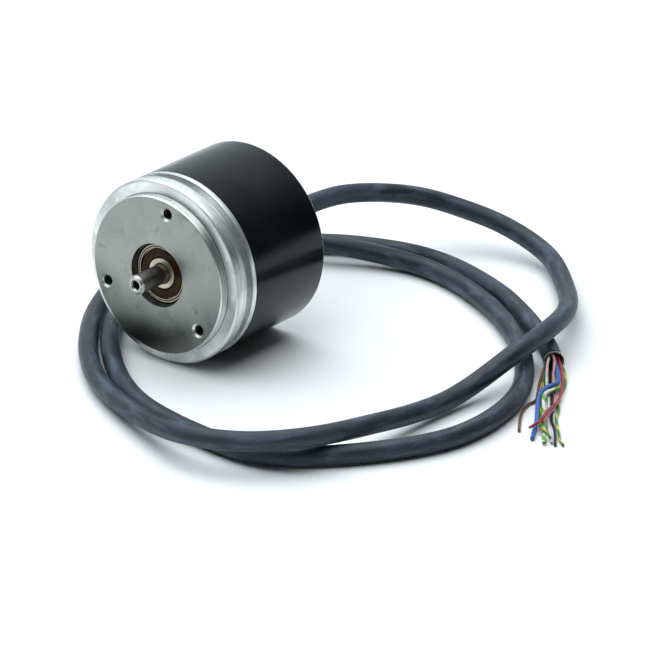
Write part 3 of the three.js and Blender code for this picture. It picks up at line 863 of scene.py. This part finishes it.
def make_core(name, radius, points, end, metal):
    """One insulated core from inside the jacket to its cut end, with its strands showing there."""
    along = Vector((math.cos(BUNDLE_HEADING), math.sin(BUNDLE_HEADING), 0))
    across = Vector((-along.y, along.x, 0))
    route = [
        Vector((end.x, end.y, height * MM)) + across * side * MM + along * forward * MM
        for side, forward, height in points
    ]
    root = route[0] - (route[1] - route[0]).normalized() * CORE_ROOT * MM
    path = smooth_path([root, *route], CORE_STEP * MM)
    size = radius * MM
    colour, stripe = CORE_COLOURS[name]
    bm = bmesh.new()
    add_tube(bm, path, lambda distance, angle: size, CORE_SIDES, [
        (size * 0.90, 0.00004, 0), (size * 0.56, 0.00005, 0), (size * 0.52, 0.00025, 1),
        (size * 0.2, 0.00032, 1),
    ])
    piece = add_piece(name + "_insulation", bm, [core_insulation(name, colour, stripe), metal],
                      "housing", [name])


place_camera()
cable, cable_end, cable_heading = make_cable()
shield = make_shield(cable_end, cable_heading)
conductor = copper()
for core_name, core_radius, core_points in CORES:
    make_core(core_name, core_radius, core_points, cable_end, conductor)


# ---- housing ------------------------------------------------------------------------------------


def make_flange():
    """Flange with its bearing hub: dull face with a painted dark reflection low down, bright rims, and
    painted shade in the recess and in the collar's corner.
    """
    corner_shade = 0.14
    face_depth = 0.15

    def finish(radius, position):
        in_corner = (abs(radius - COLLAR_RADIUS) < corner_shade
                     and abs(position - COLLAR_END) < corner_shade)
        # Index 2 is painted shade: the bearing's recess and a thin line in the collar's corner
        if radius < RECESS_RADIUS + 0.01 or in_corner:
            return 2
        return 0 if position < face_depth and radius < COLLAR_RADIUS - COLLAR_CHAMFER else 1

    seat_start = FRONT_BEARING_START - BEARING_SEAT_MARGIN
    seat_end = FRONT_BEARING_START + BEARING_WIDTH + BEARING_SEAT_MARGIN
    outline = [
        (RECESS_RADIUS, 0), (COLLAR_RADIUS - COLLAR_CHAMFER, 0), (COLLAR_RADIUS, COLLAR_CHAMFER),
        (COLLAR_RADIUS, COLLAR_END), (BODY_RADIUS - RIM_CHAMFER, COLLAR_END),
        (BODY_RADIUS, COLLAR_END + RIM_CHAMFER), (BODY_RADIUS, GROOVE_START),
        (GROOVE_RADIUS, GROOVE_START), (GROOVE_RADIUS, GROOVE_END), (BODY_RADIUS, GROOVE_END),
        (BODY_RADIUS, RIM_END), (SPIGOT_RADIUS, RIM_END), (SPIGOT_RADIUS, SEAL_GROOVE_START),
        (SEAL_GROOVE_RADIUS, SEAL_GROOVE_START), (SEAL_GROOVE_RADIUS, SEAL_GROOVE_END),
        (SPIGOT_RADIUS, SEAL_GROOVE_END), (SPIGOT_RADIUS, SPIGOT_END), (HUB_RADIUS, SPIGOT_END),
        (HUB_RADIUS, HUB_END), (BEARING_SEAT_RADIUS, HUB_END), (BEARING_SEAT_RADIUS, REAR_SEAT_START),
        (TUNNEL_RADIUS, REAR_SEAT_START), (TUNNEL_RADIUS, seat_end), (BEARING_SEAT_RADIUS, seat_end),
        (BEARING_SEAT_RADIUS, seat_start), (RECESS_RADIUS, seat_start),
    ]
    flange = turned_piece(
        "flange_turned", outline, [face_aluminium(), rim_aluminium(), painted_shade_metal()], "housing",
        ["flange"], edge=0.12, sides=TURNED_SIDES, finish=finish,
    )
    carve(flange, [mount_hole(angle) for angle in MOUNT_HOLE_ANGLES])


def mount_hole(degrees):
    """Cutter for a threaded hole with a countersink and a drilled point."""
    angle = math.radians(degrees)
    radius = MOUNT_HOLE_RADIUS
    outline = [(0, MOUNT_HOLE_DEPTH + 0.9), (radius, MOUNT_HOLE_DEPTH)]
    position = MOUNT_HOLE_DEPTH
    while position > THREAD_START:
        outline += [(radius, position - 0.35), (THREAD_RADIUS, position - 0.52),
                    (radius, position - THREAD_PITCH)]
        position -= THREAD_PITCH
    outline += [(radius, COUNTERSINK_DEPTH), (2 * radius, -1), (0, -1)]
    bm = bmesh.new()
    centre = (MOUNT_HOLE_CIRCLE * math.cos(angle), MOUNT_HOLE_CIRCLE * math.sin(angle))
    thread_top = COUNTERSINK_DEPTH + 0.05
    # The thread takes index 2, painted shade; the countersink takes the rim's metal
    add_turned(bm, outline, HOLE_SIDES, centre, lambda middle, place: 2 if place > thread_top else 1)
    return bm


def make_posts():
    """Posts of the flange that carry the circuit board, with their screw holes."""
    bm = bmesh.new()
    foot = SPIGOT_END - 0.2
    outline = [
        (POST_RADIUS, foot), (POST_RADIUS, POST_END), (SCREW_HOLE_RADIUS, POST_END),
        (SCREW_HOLE_RADIUS, SCREW_HOLE_END), (0.7, SCREW_HOLE_END - 0.6), (0.7, foot),
    ]
    for degrees in POST_ANGLES:
        angle = math.radians(degrees)
        centre = (POST_CIRCLE * math.cos(angle), POST_CIRCLE * math.sin(angle))
        add_turned(bm, rounded(outline, 0.12), POST_SIDES, centre)
    add_piece("flange_posts", bm, [rim_aluminium()], "housing", [])


def make_cap():
    """Drawn cap whose rounded rear edge is worn bright."""
    worn_width = 0.45
    edge_steps = 8

    def finish(radius, position):
        on_edge = position > BODY_LENGTH - worn_width and radius > BODY_RADIUS - worn_width
        return 1 if on_edge else 0

    outline = [(CAP_INNER_RADIUS, CAP_START), (BODY_RADIUS - 0.1, CAP_START),
               (BODY_RADIUS, CAP_START + 0.1)]
    for step in range(edge_steps + 1):
        angle = math.radians(90 * step / edge_steps)
        outline.append((
            BODY_RADIUS - CAP_EDGE_RADIUS * (1 - math.cos(angle)),
            BODY_LENGTH - CAP_EDGE_RADIUS * (1 - math.sin(angle)),
        ))
    inner_face = BODY_LENGTH - CAP_WALL
    outline += [(CAP_HOLE_RADIUS + 0.2, BODY_LENGTH), (CAP_HOLE_RADIUS, BODY_LENGTH - 0.2),
                (CAP_HOLE_RADIUS, inner_face), (CAP_INNER_RADIUS - 0.6, inner_face),
                (CAP_INNER_RADIUS, inner_face - 0.6)]
    bm = bmesh.new()
    add_turned(bm, outline, TURNED_SIDES, finish=finish)
    add_piece("cap_shell", bm, [black_cap(), worn_edge()], "housing", ["cap"])


def make_strain_relief():
    """Tapered sleeve with shallow ribs where it bends."""
    bore = CABLE_RADIUS + GAP
    neck = CAP_HOLE_RADIUS - GAP
    outside = BODY_LENGTH + GAP
    outline = [(bore, 41), (7, 41), (7, 42.1), (neck, 42.1), (neck, outside), (6.5, outside),
               (6.6, outside + 0.3), (6.6, 46.2), (6.4, 46.5), (5.65, 47.1)]
    tail_start, tail_radius, tail_thinning = 47.2, 5.6, 1.5
    for rib in range(RELIEF_RIBS):
        start = RELIEF_RIB_START + rib * RELIEF_RIB_PITCH
        share = (start - tail_start) / (STRAIN_RELIEF_END - tail_start)
        taper = tail_radius - share * tail_thinning
        outline += [(taper, start), (taper - 0.35, start + 0.25), (taper - 0.40, start + 0.85),
                    (taper - 0.12, start + 1.1)]
    outline += [(4.1, STRAIN_RELIEF_END - 0.3), (3.9, STRAIN_RELIEF_END), (bore, STRAIN_RELIEF_END)]
    return turned_piece("strain_relief_sleeve", outline, [black_rubber()], "housing",
                        ["strain_relief"], edge=0.1)


# ---- shaft, bearings and inner parts ------------------------------------------------------------


def make_shaft():
    """Ground shaft with a painted highlight on its chamfered end and painted shade in its centre hole."""

    def finish(radius, position):
        if radius < CENTRE_HOLE_RADIUS + 0.02 and position < 0:
            return 2
        return 1 if position < SHAFT_CHAMFER - SHAFT_REACH + 0.02 else 0

    shoulder = FRONT_BEARING_START + BEARING_WIDTH + GAP
    outline = [
        (0, -4.6), (CENTRE_HOLE_RADIUS, -5.3), (CENTRE_HOLE_RADIUS, 0.4 - SHAFT_REACH),
        (CENTRE_HOLE_RADIUS + 0.4, -SHAFT_REACH), (SHAFT_RADIUS - SHAFT_CHAMFER, -SHAFT_REACH),
        (SHAFT_RADIUS, SHAFT_CHAMFER - SHAFT_REACH), (SHAFT_RADIUS, shoulder),
        (SHAFT_SHOULDER_RADIUS, shoulder), (SHAFT_SHOULDER_RADIUS, SHAFT_SHOULDER_END),
        (SHAFT_RADIUS, SHAFT_SHOULDER_END), (SHAFT_RADIUS, CLIP_GROOVE_START),
        (CLIP_GROOVE_RADIUS, CLIP_GROOVE_START), (CLIP_GROOVE_RADIUS, CLIP_GROOVE_END),
        (SHAFT_RADIUS, CLIP_GROOVE_END), (SHAFT_RADIUS, SHAFT_END - 0.3),
        (SHAFT_RADIUS - 0.3, SHAFT_END), (0, SHAFT_END),
    ]
    # The chamfer's lighter steel is a painted highlight; the centre hole gets painted shade
    bright = steel("painted_highlight_steel", (0.42, 0.42, 0.41), (0.66, 0.66, 0.64), 0.3)
    turned_piece("shaft_ground", outline, [steel(), bright, painted_shade_metal()], "rotor", ["shaft"],
                 edge=0.06, sides=SHAFT_SIDES, finish=finish)


def make_bearing(side, start, ring_steel, seals, seal_material):
    """Inner ring, outer ring with a shallow groove in its front face coloured near black as painted
    shade, and seals at their offsets.
    """
    middle, end = start + BEARING_WIDTH / 2, start + BEARING_WIDTH
    bore = SHAFT_RADIUS + BEARING_SEAT_MARGIN
    seal_rim = SEAL_SEAT_RADIUS - GAP
    # The groove's near-black steel is painted shade
    groove = steel(side + "_groove_painted_shade", (0.07, 0.06, 0.04), (0.13, 0.11, 0.08), 0.4)
    turned_piece(side + "_outer_race", [
        (BEARING_RADIUS, start + 0.35), (BEARING_RADIUS, end - 0.35), (9.15, end), (SEAL_SEAT_RADIUS, end),
        (SEAL_SEAT_RADIUS, end - SEAL_SEAT_DEPTH), (7.6, end - SEAL_SEAT_DEPTH), (7.6, middle + 1.1),
        (8, middle + 0.5), (8, middle - 0.5), (7.6, middle - 1.1), (7.6, start + SEAL_SEAT_DEPTH),
        (SEAL_SEAT_RADIUS, start + SEAL_SEAT_DEPTH), (SEAL_SEAT_RADIUS, start), (8.45, start),
        (8.5, start + 0.25), (8.75, start + 0.25), (8.8, start), (9.15, start),
    ], [ring_steel, groove], "housing", [side + "_bearing_outer_ring"], edge=0.08,
        finish=lambda radius, place: 1 if 8.47 < radius < 8.78 else 0)
    turned_piece(side + "_inner_race", [
        (bore, start), (4.9, start), (4.9, middle - 1.1), (4.5, middle - 0.5), (4.5, middle + 0.5),
        (4.9, middle + 1.1), (4.9, end), (bore, end),
    ], [ring_steel], "rotor", [side + "_bearing_inner_ring"], edge=0.25)
    for name, offset in seals:
        place = start + offset
        turned_piece(name + "_lip", [
            (5.2, place + 0.1), (5.35, place), (7.6, place), (seal_rim, place + 0.15),
            (seal_rim, place + 0.4), (5.2, place + 0.4),
        ], [seal_material], "housing", [name], edge=0.05)


def dress_cad_pieces(seal_rubber):
    """Gives materials to the CAD pieces that are shown as they are."""
    materials = {
        "housing_seal": seal_rubber,
        "wave_washer": steel("spring_steel"),
        "retaining_ring": steel("clip_steel"),
        "disc_hub": steel("brass", *BRASS_TONES),
        "disc_clamp": steel("clamp_brass", *BRASS_TONES),
        "code_disc": optical_glass(),
        "condenser_lens": optical_glass(),
        "scanning_reticle": optical_glass(),
        "lamp": optical_glass(),
        "lamp_holder": moulded("holder_plastic", *BLACK_PLASTIC_TONES),
        "photodetector": moulded("detector_plastic", *BLACK_PLASTIC_TONES),
        "circuit_board": circuit_board_green(),
        "board_connector": moulded("connector_plastic", *CREAM_PLASTIC_TONES),
    }
    ball_steel = steel("ball_steel", *BALL_TONES, 0.08)
    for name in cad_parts:
        if "_ball_" in name or "board_screw" in name:
            materials[name] = ball_steel
        if name.endswith("_cage"):
            materials[name] = materials["disc_hub"]
    for name, material in materials.items():
        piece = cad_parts[name]
        if piece.material_slots:
            for holder in piece.material_slots:
                holder.material = material
        else:
            piece.data.materials.append(material)


rubber = black_rubber()
make_flange()
make_posts()
make_cap()
relief = make_strain_relief()
make_shaft()
make_bearing("front", FRONT_BEARING_START, steel("ring_steel", (0.40, 0.36, 0.27), (0.60, 0.56, 0.45), 0.3),
             (("front_seal_outside", 0.15), ("front_seal_inside", 5.45)), brown_seal())
make_bearing("rear", REAR_BEARING_START, steel("rear_ring_steel"), (), None)
dress_cad_pieces(rubber)


# ---- stage --------------------------------------------------------------------------------------


def make_floor():
    """Level floor at height 0, eight metres wide."""
    bm = bmesh.new()
    bmesh.ops.create_grid(bm, x_segments=8, y_segments=8, size=4)
    mesh = bpy.data.meshes.new("floor")
    bm.to_mesh(mesh)
    bm.free()
    mesh.materials.append(pale_floor())
    floor = bpy.data.objects.new("floor", mesh)
    bpy.context.collection.objects.link(floor)


def softbox(name, place, aim, size, power, colour):
    """Rectangular area light at a place, aimed at a point."""
    data = bpy.data.lights.new(name, "AREA")
    data.shape = "RECTANGLE"
    data.size, data.size_y = size
    data.energy = power
    data.color = colour
    light = bpy.data.objects.new(name, data)
    bpy.context.collection.objects.link(light)
    light.location = place
    light.rotation_mode = "QUATERNION"
    light.rotation_quaternion = (Vector(aim) - Vector(place)).to_track_quat("-Z", "Y")


def make_world():
    """Soft surroundings: bright behind the object and above it, dim on the camera's side."""
    world = bpy.data.worlds.new("studio")
    world.use_nodes = True
    tree = world.node_tree
    background = tree.nodes["Background"]
    background.inputs["Color"].default_value = (*WORLD_COLOUR, 1)
    where = tree.nodes.new("ShaderNodeTexCoord")
    toward = tree.nodes.new("ShaderNodeVectorMath")
    toward.operation = "DOT_PRODUCT"
    toward.inputs[1].default_value = WORLD_BRIGHT_SIDE
    strength = tree.nodes.new("ShaderNodeMapRange")
    strength.interpolation_type = "SMOOTHSTEP"
    strength.inputs["From Min"].default_value = 0.0
    strength.inputs["From Max"].default_value = 0.95
    strength.inputs["To Min"].default_value = WORLD_DIM
    strength.inputs["To Max"].default_value = WORLD_BRIGHT
    tree.links.new(where.outputs["Generated"], toward.inputs[0])
    tree.links.new(toward.outputs["Value"], strength.inputs["Value"])
    tree.links.new(strength.outputs["Result"], background.inputs["Strength"])
    bpy.context.scene.world = world


make_floor()
make_world()
softbox("overhead", SOFTBOX_PLACE, (0, 0, 0), SOFTBOX_SIZE, SOFTBOX_POWER, SOFTBOX_COLOUR)
bpy.context.scene.view_settings.view_transform = "Standard"
